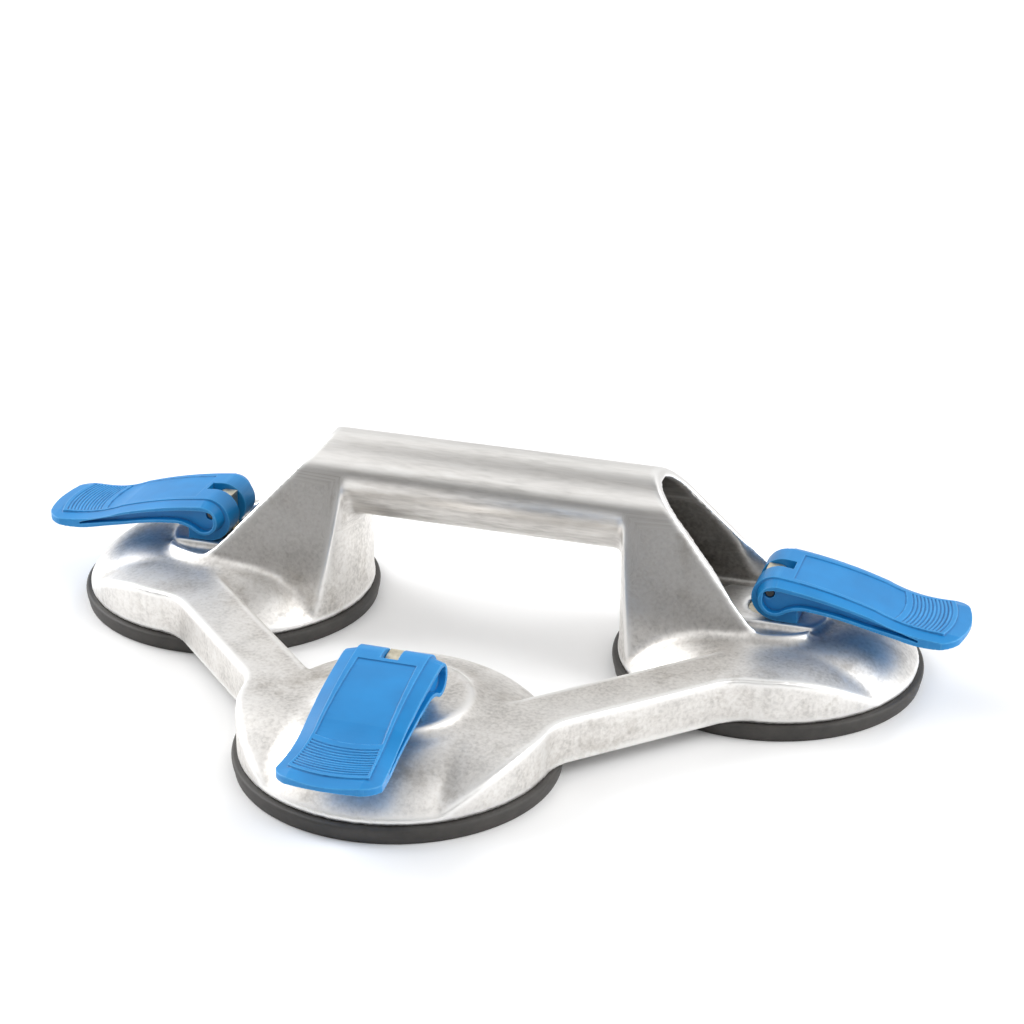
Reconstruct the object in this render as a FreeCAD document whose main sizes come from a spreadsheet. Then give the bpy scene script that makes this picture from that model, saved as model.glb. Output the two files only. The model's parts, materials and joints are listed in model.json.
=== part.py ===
"""Three-cup suction lifter for raised-floor tiles, as a parametric FreeCAD document.

One die-cast body joins three cup housings, two arms and a tubular handle on two
open legs. Under each housing sits a rubber suction pad with a bonded steel plate.
A drawbar rises from the plate through the housing and carries a cross pin. The
plastic lever turns on that pin, and its cam presses on the housing, so closing
the lever pulls the middle of the pad up.

Frame: origin on the floor, under the middle of the whole object. +X runs along the
handle, the third cup is towards -Y, and +Z is up. All sizes are millimetres. The
casting is drawn about the handle's own middle and then moved to its place.
"""
import FreeCAD, Part

import math
import os
import re

import Sketcher

V = FreeCAD.Vector
document = FreeCAD.newDocument("suction_lifter")

# ---------------------------------------------------------------- driving sizes
SIZES = {
    # cup layout
    "cup_x": (111.4, "handle axis to a handle cup's centre, along the handle"),
    "cup_y": (111.4, "handle axis to the front cup's centre"),
    # rubber pad
    "pad_radius": (60.0, "rubber pad, widest"),
    "lip_radius": (59.1, "rubber pad at the floor"),
    "lip_width": (12.0, "flat sealing band at the floor"),
    "seat_height": (6.3, "floor to the housing's rim"),
    "pad_edge_chamfer": (1.0, "top outer edge of the pad"),
    "pad_web": (4.0, "rubber thickness over the middle"),
    "pad_seat_width": (8.0, "rubber under the housing's rim"),
    "pad_dish_inset": (6.0, "plate's edge in to the flat middle's underside"),
    "plate_margin": (2.0, "rubber standing out round the plate"),
    # backing plate and drawbar
    "plate_radius": (24.0, "steel plate bonded on the pad"),
    "plate_thickness": (2.5, ""),
    "hub_radius": (10.0, "boss that takes the drawbar's spigot"),
    "hub_height": (4.0, ""),
    "spigot_radius": (4.0, ""),
    "stud_radius": (8.0, "round part of the drawbar"),
    "stud_top": (25.8, "floor to the top of the round part"),
    "tongue_half": (2.9, "half the thickness between the drawbar's flats"),
    "eye_radius": (4.0, "pin to the tongue's top and both its edges"),
    "slide_gap": (0.10, "radial running clearance of the drawbar"),
    # hinge
    "pin_x": (2.4, "cup centre to the cross pin, outwards"),
    "pin_drop": (12.4, "plateau to the cross pin's axis, lever closed"),
    "pin_radius": (2.0, ""),
    "pin_sink": (0.7, "pin's ends inside the lever's side webs"),
    "pin_chamfer": (0.4, ""),
    "pin_gap": (0.05, "radial running clearance in the lever"),
    "press_gap": (0.01, "radial gap of fitted joints"),
    # lift and cam
    "stroke": (5.0, "travel of the pad's middle, lever closed to open"),
    "cam_gap": (0.1, "cam to plateau"),
    "open_angle": (90.0, "lever travel in degrees"),
    # cup housing
    "rim_radius": (58.0, "housing at its rim"),
    "rim_band": (2.2, "upright band above the pad"),
    "dome_arc": (36.0, "radius of the dome's section"),
    "boss_foot_radius": (30.4, ""),
    "boss_foot_height": (24.6, ""),
    "boss_foot_rise": (1.2, "height of the hollow round the boss's foot"),
    "boss_foot_fillet": (1.8, ""),
    "boss_shoulder": (28.2, "outside radius of the boss ring"),
    "boss_radius": (26.6, "top outside radius of the boss ring"),
    "boss_height": (27.4, "floor to the boss ring's top"),
    "plateau_radius": (23.6, "flat that the cam presses on"),
    "plateau_drop": (0.4, "boss ring's top to the plateau"),
    "plateau_edge": (0.3, "slope between the ring's top and the plateau"),
    "plateau_half": (14.4, "half width of the plateau between the cheeks"),
    "gutter_floor": (23.4, "floor to the groove beside the plateau"),
    "ring_bore": (24.6, "inside radius of the boss ring beside the groove"),
    "ring_end": (19.0, "cup centre to the ring's cut ends, outwards"),
    "wall": (4.0, "casting wall"),
    "ceiling": (20.4, "floor to the housing's inner ceiling"),
    # arms
    "arm_top": (24.0, "floor to the arm's top"),
    "arm_inner": (18.5, "cup centre line to the arm's inner wall"),
    "arm_outer": (40.6, "cup centre line to the arm's outer wall"),
    "web_fillet": (18.0, "plan radius from the arm into a housing"),
    "fold_offset": (31.5, "cup centre to the fold between dome and wing"),
    "wing_flat": (14.0, "cup centre to where the wing starts to fall"),
    "wing_arc": (46.7, "radius of the wing's falling section"),
    # handle and legs
    "grip_height": (60.4, "floor to the handle's axis"),
    "grip_radius": (16.6, ""),
    "bore_radius": (12.9, ""),
    "flare": (16.5, "slope of the leg's cheeks, degrees from upright"),
    "cheek_wall": (4.2, "cheek thickness along Y"),
    "leg_inset": (0.5, "leg's round back inside the housing's rim"),
    "mouth_x": (66.3, "handle centre to the end cut, at mouth_z"),
    "mouth_z": (76.0, ""),
    "mouth_slope": (47.4, "slope of the end cut in degrees"),
    "mouth_fillet": (12.0, "end cut into the cheek's low run"),
    # lever
    "lever_reach": (74.3, "pin to the lever's tip"),
    "lever_back": (12.0, "pin to the plan outlines' rear, inwards"),
    "block_half": (13.4, "half width of the cam block"),
    "plate_half_waist": (13.2, "half width of the raised palm plate"),
    "plate_half_tip": (14.6, ""),
    "plate_waist_x": (42.0, "pin to the palm plate's waist"),
    "plate_side_bow": (190.0, "plan radius of the palm plate's sides"),
    "plate_corner_x": (66.0, "pin to the palm plate's front corners"),
    "plate_bow": (42.0, "plan radius of the palm plate's front"),
    "lever_plate": (3.0, "palm plate thickness"),
    "band_step": (0.6, "palm plate's top down to the side bands"),
    "band_root": (0.4, "cam block's side in to where the bands start"),
    "band_fall": (2.1, "palm plate's top down to the bands' outer edges"),
    "flange_half": (19.2, "half width over the bands before the plan cut"),
    "flange_half_rear": (18.4, "half width over the side flanges"),
    "flange_half_waist": (18.1, ""),
    "flange_half_tip": (19.0, ""),
    "flange_waist_x": (30.0, "pin to the flanges' waist"),
    "flange_side_bow": (260.0, "plan radius of the flanges' sides"),
    "tip_shoulder": (8.5, "tip back to where its corners start"),
    "tip_inset": (1.9, "tip back to where its corners end"),
    "tip_corner": (9.0, "plan radius of the tip's corners"),
    "tip_corner_width": (7.0, "part of the half width that a corner takes"),
    "tip_bow": (40.0, "plan radius of the tip's end"),
    "tip_edge": (2.2, "upright edge of the tip"),
    "tip_fall": (0.6, "share of the bands' slope left at the tip"),
    "tip_under_x": (2.2, "tip back to the edge below it"),
    "tip_under_z": (3.0, ""),
    "tip_wall": (7.0, "tip back to the hollow under the palm plate"),
    "ear_x": (2.4, "pin to the ear's centre"),
    "ear_z": (-2.1, ""),
    "ear_radius": (5.9, "ear at the flange's outer edge"),
    "ear_root_radius": (7.6, "ear where the bands start"),
    "ear_rim": (1.3, "rim round the flange's recess"),
    "web_half": (15.4, "half distance over the recessed side webs"),
    "slot_gap": (0.4, "lever's slot beside the drawbar's flats"),
    "slot_end_gap": (0.9, "slot's end clear of the tongue's top corner"),
    "cam_toe": (10.8, "pin to the cam foot's outer end"),
    "cam_toe_web": (2.5, "cam foot to the hollow under the palm plate"),
    "cam_toe_drop": (1.3, "palm plate's heel down to the cam foot's top"),
    "panel_depth": (0.5, "depth of the panel let into the palm plate"),
    "panel_start": (8.2, "pin to the panel"),
    "panel_end": (49.2, "pin to the panel's bowed end"),
    "panel_half": (11.0, "half width of the panel's start"),
    "panel_half_end": (12.2, ""),
    "panel_bow": (40.0, "plan radius of the panel's end and the grip grooves"),
    "panel_bow_inset": (2.0, "a bowed end's corners back from its middle"),
    "groove_gap": (0.4, "panel's end to the first grip groove's ends"),
    "groove_pitch": (1.42, ""),
    "groove_width": (0.75, ""),
    "groove_depth": (0.4, ""),
    "groove_half": (12.3, "half length of the first grip groove"),
    "groove_growth": (0.13, "each next groove's half length more"),
    "palm_heel_x": (3.1, "side view of the palm plate's top, heel to tip"),
    "palm_heel_z": (6.1, ""),
    "palm_mid_x": (40.0, ""),
    "palm_mid_z": (-2.0, ""),
    "palm_toe_x": (62.0, ""),
    "palm_toe_z": (-6.9, ""),
    "palm_brow_x": (68.5, ""),
    "palm_brow_z": (-7.1, ""),
    "palm_tip_z": (-8.2, ""),
    "palm_arc": (180.0, ""),
    "palm_toe_arc": (54.0, ""),
    "neck_turn": (35.0, "degrees round the ear to the flange's lower edge"),
    "neck_x": (15.0, "top of the flange's lower edge"),
    "neck_z": (-4.4, ""),
    "neck_arc": (14.3, ""),
    "skirt_mid_x": (36.0, "flange's lower edge towards the tip"),
    "skirt_mid_z": (-8.0, ""),
    "skirt_arc": (120.0, ""),
    "skirt_low_x": (52.0, ""),
    "skirt_low_z": (-11.5, ""),
    "skirt_toe_x": (66.0, ""),
    "skirt_toe_z": (-11.9, ""),
    "skirt_toe_arc": (38.0, ""),
    "recess_end_x": (57.0, "tip end of the flange's recess"),
    "recess_end_z": (-10.2, ""),
    "recess_end_half": (0.4, ""),
    "recess_rim": (0.8, "rim over the recess, below the band"),
    "hollow_half": (12.0, "half width of the hollow under the palm plate"),
}

sheet = document.addObject("Spreadsheet::Sheet", "Sizes")
for row, (alias, (value, note)) in enumerate(SIZES.items(), start=1):
    sheet.set(f"A{row}", alias)
    sheet.set(f"B{row}", str(value))
    sheet.setAlias(f"B{row}", alias)
    sheet.set(f"C{row}", note)
document.recompute()


def bound(expression):
    """Spell out the sheet's name before each alias in a size expression."""
    return re.sub(r"\b([a-z]+_[a-z_]+|stroke|wall|ceiling|flare)\b", r"Sizes.\1", str(expression))


def value_of(expression):
    """Work a size expression out now, as a plain number."""
    result = sheet.evalExpression(bound(expression))
    return float(getattr(result, "Value", result))


# ---------------------------------------------------------------- sketch helpers
PLANE_ROTATION = {
    "XY": FreeCAD.Rotation(),
    "XZ": FreeCAD.Rotation(V(1, 0, 0), 90),
    "YZ": FreeCAD.Rotation(V(1, 1, 1), 120),
}


def arc_between(start, end, radius):
    """Minor arc from start to end; a positive radius turns to the left."""
    chord = end - start
    size = abs(radius)
    rise = math.sqrt(max(size ** 2 - (chord.Length / 2) ** 2, 0.0))
    side = V(-chord.y, chord.x, 0).normalize() * (rise if radius > 0 else -rise)
    centre = (start + end) * 0.5 + side
    first, last = (start, end) if radius > 0 else (end, start)
    from_angle = math.atan2(first.y - centre.y, first.x - centre.x)
    to_angle = math.atan2(last.y - centre.y, last.x - centre.x)
    circle = Part.Circle(centre, V(0, 0, 1), size)
    return Part.ArcOfCircle(circle, from_angle, to_angle)


def draw_outline(sketch, points):
    """Draw a closed outline whose corners and radii are bound to the sheet.

    A point is (x, y), or (x, y, radius) where an arc leads on to the next point.
    """
    corners = [V(value_of(point[0]), value_of(point[1]), 0) for point in points]
    count = len(points)
    ends = []
    for index, point in enumerate(points):
        start, end = corners[index], corners[(index + 1) % count]
        if len(point) == 2:
            sketch.addGeometry(Part.LineSegment(start, end), False)
            ends.append((1, 2))
            continue
        radius = value_of(point[2])
        sketch.addGeometry(arc_between(start, end, radius), False)
        ends.append((1, 2) if radius > 0 else (2, 1))
    for index, point in enumerate(points):
        following = (index + 1) % count
        sketch.addConstraint(
            Sketcher.Constraint("Coincident", index, ends[index][1], following, ends[following][0])
        )
        for kind, axis, expression in (("DistanceX", -2, point[0]), ("DistanceY", -1, point[1])):
            if str(expression) == "0":
                sketch.addConstraint(Sketcher.Constraint("PointOnObject", index, ends[index][0], axis))
                continue
            number = sketch.addConstraint(
                Sketcher.Constraint(kind, -1, 1, index, ends[index][0], value_of(expression))
            )
            sketch.setExpression(f"Constraints[{number}]", bound(expression))
        if len(point) == 3:
            number = sketch.addConstraint(Sketcher.Constraint("Radius", index, abs(value_of(point[2]))))
            sketch.setExpression(f"Constraints[{number}]", bound(f"abs({point[2]})"))


def plane_sketch(name, plane, points):
    """A loose sketch in a principal plane, for Part's extrusions and revolutions."""
    sketch = document.addObject("Sketcher::SketchObject", name)
    sketch.Placement = FreeCAD.Placement(V(), PLANE_ROTATION[plane])
    draw_outline(sketch, points)
    return sketch


def body_sketch(body, name, plane, points):
    """A sketch on one of a body's own origin planes."""
    sketch = body.newObject("Sketcher::SketchObject", name)
    origin_plane = next(item for item in body.Origin.OriginFeatures if item.Role == f"{plane}_Plane")
    sketch.AttachmentSupport = [(origin_plane, "")]
    sketch.MapMode = "FlatFace"
    document.recompute()
    draw_outline(sketch, points)
    return sketch


# ---------------------------------------------------------------- solid helpers
def extruded(name, sketch, direction, forward, backward="0"):
    solid = document.addObject("Part::Extrusion", name)
    solid.Base = sketch
    solid.DirMode = "Custom"
    solid.Dir = V(*direction)
    solid.Solid = True
    solid.setExpression("LengthFwd", bound(forward))
    if backward != "0":
        solid.setExpression("LengthRev", bound(backward))
    return solid


def revolved(name, sketch):
    solid = document.addObject("Part::Revolution", name)
    solid.Source = sketch
    solid.Axis = V(0, 0, 1)
    solid.Solid = True
    return solid


def cylinder(name, radius, height, base=("0", "0", "0"), along="Z"):
    solid = document.addObject("Part::Cylinder", name)
    solid.setExpression("Radius", bound(radius))
    solid.setExpression("Height", bound(height))
    if along == "X":
        solid.Placement.Rotation = FreeCAD.Rotation(V(0, 1, 0), 90)
    if along == "Y":
        solid.Placement.Rotation = FreeCAD.Rotation(V(1, 0, 0), -90)
    place(solid, base)
    return solid


def block(name, low, high):
    solid = document.addObject("Part::Box", name)
    for side, first, last in zip(("Length", "Width", "Height"), low, high):
        solid.setExpression(side, bound(f"({last}) - ({first})"))
    place(solid, low)
    return solid


def place(thing, base):
    for axis, expression in zip("xyz", base):
        if str(expression) != "0":
            thing.setExpression(f"Placement.Base.{axis}", bound(expression))


def joined(name, *solids):
    result = document.addObject("Part::MultiFuse", name)
    result.Shapes = list(solids)
    return result


def less(name, base, tool):
    result = document.addObject("Part::Cut", name)
    result.Base = base
    result.Tool = tool
    return result


def shared(name, base, tool):
    result = document.addObject("Part::Common", name)
    result.Base = base
    result.Tool = tool
    return result


def mirrored(name, source):
    result = document.addObject("Part::Mirroring", name)
    result.Source = source
    result.Base = V(0, 0, 0)
    result.Normal = V(1, 0, 0)
    return result


# ---------------------------------------------------------------- the three cups
# Each cup's centre seen from the handle's middle, and the way its lever points.
CUPS = {
    "left": (("-cup_x", "0", "0"), 180),
    "right": (("cup_x", "0", "0"), 0),
    "front": (("0", "-cup_y", "0"), -90),
}
# The origin lies midway between the front lever's tip and the handle pads' far edge.
HANDLE_Y = "((cup_y + pin_x + lever_reach - pad_radius) / 2)"
# A cut that runs right through goes on this far.
FAR = "300"

parts = {}


def set_at_cup(solid, side, out="0", rise="0"):
    """Put a finished piece at its cup with its +X pointing outwards."""
    base, angle = CUPS[side]
    solid.Placement.Rotation = FreeCAD.Rotation(V(0, 0, 1), angle).multiply(solid.Placement.Rotation)
    outward = FreeCAD.Rotation(V(0, 0, 1), angle).multVec(V(1, 0, 0))
    place(solid, (f"({base[0]}) + {round(outward.x)} * {out}",
                  f"{HANDLE_Y} + ({base[1]}) + {round(outward.y)} * {out}", rise))


# ---------------------------------------------------------------- cast body
RIM_TOP = "seat_height + rim_band"
PLATEAU = "boss_height - plateau_drop"

housing_outline = [
    ("0", "seat_height"),
    ("rim_radius", "seat_height"),
    ("rim_radius", RIM_TOP, "dome_arc"),
    ("boss_foot_radius", "boss_foot_height"),
    ("boss_shoulder", "boss_foot_height + boss_foot_rise", "boss_foot_fillet"),
    ("boss_radius", "boss_height"),
    ("plateau_radius + plateau_edge", "boss_height"),
    ("plateau_radius", PLATEAU),
    ("0", PLATEAU),
]
cavity_outline = [
    ("0", "0"),
    ("rim_radius - wall", "0"),
    ("rim_radius - wall", RIM_TOP, "dome_arc - wall"),
    ("boss_foot_radius", "ceiling"),
    ("0", "ceiling"),
]


def housing_solids():
    """The three closed domes, each with its boss and plateau."""
    solids = []
    for side in CUPS:
        dome = revolved(f"{side}_dome", plane_sketch(f"{side}_dome_section", "XZ", housing_outline))
        place(dome, CUPS[side][0])
        solids.append(dome)
    return solids


def cavity_solids():
    """The hollow under each dome, with the drawbar's guide hole."""
    solids = []
    for side in CUPS:
        hollow = revolved(f"{side}_hollow", plane_sketch(f"{side}_hollow_section", "XZ", cavity_outline))
        place(hollow, CUPS[side][0])
        guide = cylinder(f"{side}_guide_hole", "stud_radius + slide_gap", "boss_height", CUPS[side][0])
        solids += [hollow, guide]
    return solids


# The right arm is drawn along u, from the front cup's centre to the right cup's
# centre, with n pointing outwards from the triangle of cups.
PITCH = "sqrt(cup_x ^ 2 + cup_y ^ 2)"
FOLD_FOOT = "sqrt(rim_radius ^ 2 - fold_offset ^ 2)"


def arm_solid():
    """The right arm: a plan outline, topped by a flat that falls to each rim."""
    root_two = "sqrt(2)"
    blend_u = "sqrt((rim_radius + web_fillet) ^ 2 - (arm_outer + web_fillet) ^ 2)"
    touch = "rim_radius / (rim_radius + web_fillet)"
    fold_u = f"(fold_offset - {FOLD_FOOT}) / {root_two}"
    fold_n = f"(fold_offset + {FOLD_FOOT}) / {root_two}"
    inner_u = f"{root_two} * fold_offset - arm_inner"
    half = [
        (inner_u, "arm_inner"),
        (fold_u, fold_n, "-rim_radius"),
        (f"{blend_u} * {touch}", f"(arm_outer + web_fillet) * {touch}", "web_fillet"),
        (blend_u, "arm_outer"),
    ]
    mirrored_half = [
        (f"{PITCH} - ({blend_u})", "arm_outer", "web_fillet"),
        (f"{PITCH} - ({blend_u} * {touch})", f"(arm_outer + web_fillet) * {touch}", "-rim_radius"),
        (f"{PITCH} - ({fold_u})", fold_n),
        (f"{PITCH} - ({inner_u})", "arm_inner"),
    ]
    outline = [(point[0], f"-({point[1]})", *[f"-({item})" for item in point[2:]])
               for point in half + mirrored_half]
    plan = plane_sketch("arm_plan", "XY", outline)
    plan.Placement.Rotation = FreeCAD.Rotation(V(0, 0, 1), 45)
    place(plan, ("0", "-cup_y", "seat_height"))
    slab = extruded("arm_slab", plan, (0, 0, 1), "arm_top - seat_height")

    fall = [
        (f"-{FOLD_FOOT}", "0"),
        (FAR, "0"),
        (FAR, "arm_top"),
        ("-wing_flat", "arm_top", "wing_arc"),
        (f"-{FOLD_FOOT}", RIM_TOP),
    ]
    front_fall = plane_sketch("front_wing_section", "YZ", fall)
    place(front_fall, ("0", "-cup_y", "0"))
    side_fall = plane_sketch("side_wing_section", "XZ", [(f"-({point[0]})", *point[1:]) for point in
                                                         reversed_outline(fall)])
    place(side_fall, ("cup_x", "0", "0"))
    front_cover = extruded("front_wing_cover", front_fall, (1, 0, 0), FAR)
    side_cover = extruded("side_wing_cover", side_fall, (0, 1, 0), FAR, FAR)
    return shared("right_arm", shared("arm_under_front_wing", slab, front_cover), side_cover)


def reversed_outline(points):
    """The same outline walked the other way, for a mirrored drawing."""
    count = len(points)
    result = []
    for index in range(count - 1, -1, -1):
        arc = points[index - 1][2:] if len(points[index - 1]) == 3 else ()
        result.append((*points[index][:2], *arc))
    return result


def arm_hollow():
    """The groove under the right arm, one wall in from its plan outline."""
    outline = [
        ("0", "-(arm_outer - wall)"),
        (PITCH, "-(arm_outer - wall)"),
        (PITCH, "-(arm_inner + wall)"),
        ("0", "-(arm_inner + wall)"),
    ]
    plan = plane_sketch("arm_groove_plan", "XY", outline)
    plan.Placement.Rotation = FreeCAD.Rotation(V(0, 0, 1), 45)
    place(plan, ("0", "-cup_y", "0"))
    return extruded("right_arm_groove", plan, (0, 0, 1), "arm_top - wall")


# A leg's cheeks leave the handle's round at a tangent and lean out by the flare.
TANGENT_Y = "grip_radius * cos(flare * 1 deg)"
TANGENT_Z = "grip_height + grip_radius * sin(flare * 1 deg)"


def cheek_outline(thinner="0", foot="seat_height"):
    spread = f"({TANGENT_Y} + ({TANGENT_Z} - {foot}) * tan(flare * 1 deg) - {thinner})"
    shoulder = f"({TANGENT_Y} - {thinner})"
    return [
        (f"-{spread}", foot),
        (spread, foot),
        (shoulder, TANGENT_Z),
        (f"-{shoulder}", TANGENT_Z),
    ]


def leg_solid():
    """The right leg as a full wedge, rounded by the cylinder of its housing."""
    section = plane_sketch("leg_section", "YZ", cheek_outline())
    wedge = extruded("leg_wedge", section, (1, 0, 0), "cup_x")
    crown = cylinder("leg_crown", "grip_radius", "cup_x", ("0", "0", "grip_height"), along="X")
    column = cylinder("leg_column", "rim_radius - leg_inset", FAR, ("cup_x", "0", "seat_height"))
    return shared("right_leg", joined("leg_block", wedge, crown), column)


def leg_hollow():
    """The open channel inside the right leg, down to the groove beside the plateau."""
    section = plane_sketch("channel_section", "YZ", cheek_outline("cheek_wall", "gutter_floor"))
    channel = extruded("channel_wedge", section, (1, 0, 0), "cup_x")
    column = cylinder("channel_column", "rim_radius - leg_inset - wall", FAR, ("cup_x", "0", "0"))
    trough = shared("channel_trough", channel, column)
    bowl = cylinder("ring_bowl", "ring_bore", FAR, ("cup_x", "0", "gutter_floor"))
    gate_low = ("cup_x + ring_end", "-ring_bore", "boss_foot_height")
    gate_high = ("cup_x + boss_foot_radius", "ring_bore", FAR)
    gate = block("ring_gate", gate_low, gate_high)
    disc = cylinder("plateau_disc", "plateau_radius", PLATEAU, ("cup_x", "0", "0"))
    strip = block("plateau_strip", ("0", "-plateau_half", "0"), (FAR, "plateau_half", FAR))
    return less("leg_channel", joined("channel_tool", trough, bowl, gate),
                shared("kept_plateau", disc, strip))


def mouth_cut():
    """Everything above the sloped end cut and the cheeks' low run."""
    slope = "tan(mouth_slope * 1 deg)"
    foot_x = f"(mouth_x + (mouth_z - boss_height) / {slope})"
    run = "(mouth_fillet * tan(mouth_slope * 0.5 deg))"
    outline = [
        (f"mouth_x - ({FAR} - mouth_z) / {slope}", FAR),
        (f"{foot_x} - {run} * cos(mouth_slope * 1 deg)",
         f"boss_height + {run} * sin(mouth_slope * 1 deg)", "mouth_fillet"),
        (f"{foot_x} + {run}", "boss_height"),
        (FAR, "boss_height"),
        (FAR, FAR),
    ]
    section = plane_sketch("mouth_section", "XZ", outline)
    return extruded("mouth_tool", section, (0, 1, 0), FAR, FAR)


def make_cast_body():
    """One casting: housings, arms, legs and handle, hollow below and in the legs."""
    arm = arm_solid()
    leg = leg_solid()
    grip = cylinder("grip", "grip_radius", "2 * cup_x", ("-cup_x", "0", "grip_height"), along="X")
    mass = joined("casting_mass", *housing_solids(), arm, mirrored("left_arm", arm),
                  leg, mirrored("left_leg", leg), grip)
    mouth = mouth_cut()
    channel = leg_hollow()
    groove = arm_hollow()
    bore = cylinder("grip_bore", "bore_radius", "2 * cup_x", ("-cup_x", "0", "grip_height"), along="X")
    waste = joined("casting_waste", mouth, mirrored("left_mouth", mouth), channel,
                   mirrored("left_channel", channel), groove, mirrored("left_groove", groove),
                   bore, *cavity_solids())
    parts["cast_body"] = less("cast_body", mass, waste)
    place(parts["cast_body"], ("0", HANDLE_Y, "0"))


# ---------------------------------------------------------------- pads and drawbars
PAD_MIDDLE = "stroke + pad_web"


def revolved_body(node, outline):
    body = document.addObject("PartDesign::Body", node)
    sketch = body_sketch(body, f"{node}_section", "XZ", outline)
    turned = body.newObject("PartDesign::Revolution", f"{node}_turned")
    turned.Profile = sketch
    turned.ReferenceAxis = (sketch, ["V_Axis"])
    turned.Angle = 360
    sketch.Visibility = False
    parts[node] = body
    return body


def make_pad(side):
    """Rubber pad at rest: a flat sealing lip and a middle drawn up by the stroke."""
    node = f"{side}_suction_pad"
    body = revolved_body(node, [
        ("0", "stroke"),
        ("plate_radius - pad_dish_inset", "stroke"),
        ("lip_radius - lip_width", "0"),
        ("lip_radius", "0"),
        ("pad_radius", "seat_height - pad_edge_chamfer"),
        ("pad_radius - pad_edge_chamfer", "seat_height"),
        ("rim_radius - pad_seat_width", "seat_height"),
        ("plate_radius + plate_margin", PAD_MIDDLE),
        ("0", PAD_MIDDLE),
    ])
    set_at_cup(body, side)


def make_plate(side):
    """Steel plate bonded on the pad, with the boss that takes the drawbar."""
    top = f"{PAD_MIDDLE} + plate_thickness"
    body = revolved_body(f"{side}_backing_plate", [
        ("spigot_radius + press_gap", PAD_MIDDLE),
        ("plate_radius", PAD_MIDDLE),
        ("plate_radius", top),
        ("hub_radius", top),
        ("hub_radius", f"{top} + hub_height"),
        ("spigot_radius + press_gap", f"{top} + hub_height"),
    ])
    set_at_cup(body, side)


HUB_TOP = f"({PAD_MIDDLE} + plate_thickness + hub_height)"
PIN_HEIGHT = f"({PLATEAU} + pin_drop)"
PIN_HALF = "(web_half - pin_sink)"


def make_drawbar(side):
    """Round stud with a spigot below and two flats above, ending in the pin's eye."""
    node = f"{side}_drawbar"
    body = revolved_body(node, [
        ("0", PAD_MIDDLE),
        ("spigot_radius", PAD_MIDDLE),
        ("spigot_radius", HUB_TOP),
        ("stud_radius", HUB_TOP),
        ("stud_radius", "stud_top"),
        ("0", "stud_top"),
    ])
    outline = body_sketch(body, f"{node}_tongue_outline", "XZ", [
        ("pin_x - eye_radius", "stud_top"),
        ("pin_x + eye_radius", "stud_top"),
        ("pin_x + eye_radius", PIN_HEIGHT, "eye_radius"),
        ("pin_x", f"{PIN_HEIGHT} + eye_radius"),
        ("pin_x - eye_radius", f"{PIN_HEIGHT} + eye_radius"),
    ])
    tongue = body.newObject("PartDesign::Pad", f"{node}_tongue")
    tongue.Profile = outline
    tongue.Midplane = True
    tongue.setExpression("Length", bound("2 * tongue_half"))
    eye_sketch = body.newObject("Sketcher::SketchObject", f"{node}_eye_circle")
    plane = next(item for item in body.Origin.OriginFeatures if item.Role == "XZ_Plane")
    eye_sketch.AttachmentSupport = [(plane, "")]
    eye_sketch.MapMode = "FlatFace"
    eye_sketch.addGeometry(Part.Circle(V(value_of("pin_x"), value_of(PIN_HEIGHT), 0), V(0, 0, 1),
                                       value_of("pin_radius + press_gap")), False)
    for kind, expression in (("DistanceX", "pin_x"), ("DistanceY", PIN_HEIGHT)):
        number = eye_sketch.addConstraint(Sketcher.Constraint(kind, -1, 1, 0, 3, value_of(expression)))
        eye_sketch.setExpression(f"Constraints[{number}]", bound(expression))
    number = eye_sketch.addConstraint(Sketcher.Constraint("Radius", 0, value_of("pin_radius + press_gap")))
    eye_sketch.setExpression(f"Constraints[{number}]", bound("pin_radius + press_gap"))
    eye = body.newObject("PartDesign::Pocket", f"{node}_eye")
    eye.Profile = eye_sketch
    eye.Type = "ThroughAll"
    eye.Midplane = True
    set_at_cup(body, side)


def make_pin(side):
    """Cross pin, drawn upright and laid along Y through the drawbar's eye."""
    node = f"{side}_hinge_pin"
    body = revolved_body(node, [
        ("0", f"-{PIN_HALF}"),
        ("pin_radius - pin_chamfer", f"-{PIN_HALF}"),
        ("pin_radius", f"-{PIN_HALF} + pin_chamfer"),
        ("pin_radius", f"{PIN_HALF} - pin_chamfer"),
        ("pin_radius - pin_chamfer", PIN_HALF),
        ("0", PIN_HALF),
    ])
    body.Placement.Rotation = FreeCAD.Rotation(V(1, 0, 0), 90)
    set_at_cup(body, side, "pin_x", PIN_HEIGHT)


# ---------------------------------------------------------------- levers
# A lever is drawn with its pin at the origin, +X towards its tip and +Z up.
CAM_RATE = "(stroke / (open_angle * pi / 180))"
CAM_REACH = "(pin_drop - cam_gap)"
CAM_TOE_TOP = "(palm_heel_z - cam_toe_drop)"
BAND_ROOT = "(block_half - band_root)"
SLOT_HALF = "(tongue_half + slot_gap)"
SLOT_END = "(eye_radius * sqrt(2) + slot_end_gap)"
GRIP_GROOVES = 11


def palm_top(drop="0", tip_drop=None):
    """Side view of the palm plate's top from tip to heel, lowered by a drop."""
    return [
        ("lever_reach", f"palm_tip_z - {tip_drop or drop}"),
        ("palm_brow_x", f"palm_brow_z - {drop}"),
        ("palm_toe_x", f"palm_toe_z - {drop}", "-palm_toe_arc"),
        ("palm_mid_x", f"palm_mid_z - {drop}", "palm_arc"),
        ("palm_heel_x", f"palm_heel_z - {drop}"),
    ]


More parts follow.
